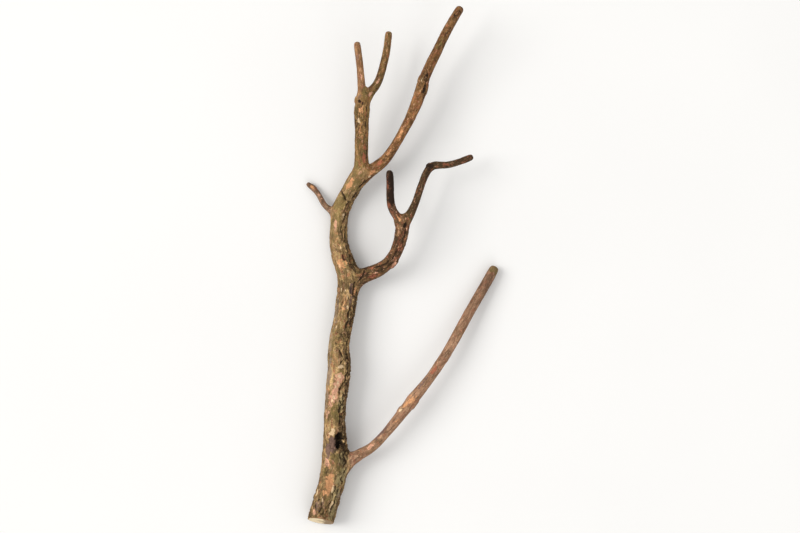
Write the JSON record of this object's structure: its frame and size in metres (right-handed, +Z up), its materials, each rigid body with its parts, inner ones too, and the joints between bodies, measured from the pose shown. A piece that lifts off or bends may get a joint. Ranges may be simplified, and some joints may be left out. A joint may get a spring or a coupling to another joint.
{
  "type": "fallen tree branch",
  "caption": "Bare, crooked fallen tree branch lying on its side, sawn at the butt, with side limbs and blunt leafless twigs under rough bark.",
  "frame": {"origin": "middle of the underside of the bounding box, on the surface the branch lies on", "axes": "+Y from the sawn butt towards the crown, +X towards the side of the long lower limb, +Z up"},
  "size_m": [0.2822, 0.7504, 0.09],
  "materials": {
    "stem_bark": "rough olive-tan bark with dark furrows, pale sawn wood at the butt",
    "lower_limb_bark": "smooth pinkish-brown bark, finely speckled",
    "spur_bark": "thin grey-brown bark",
    "middle_limb_bark": "dark brown bark with reddish patches",
    "dark_twig_bark": "nearly black bark",
    "bent_twig_bark": "reddish-brown bark, dark at the bend",
    "crown_left_bark": "tan bark with orange patches",
    "pale_twig_bark": "pinkish-tan bark",
    "tan_twig_bark": "tan bark with pale flecks",
    "crown_right_bark": "orange-brown bark with reddish flecks"
  },
  "bodies": {
    "root": {"main_stem": "stem_bark", "lower_limb": "lower_limb_bark", "left_spur": "spur_bark", "middle_limb": "middle_limb_bark", "middle_left_twig": "dark_twig_bark", "middle_right_twig": "bent_twig_bark", "crown_left_limb": "crown_left_bark", "crown_left_twig": "pale_twig_bark", "crown_right_twig": "tan_twig_bark", "crown_right_limb": "crown_right_bark"}
  },
  "joints": []
}
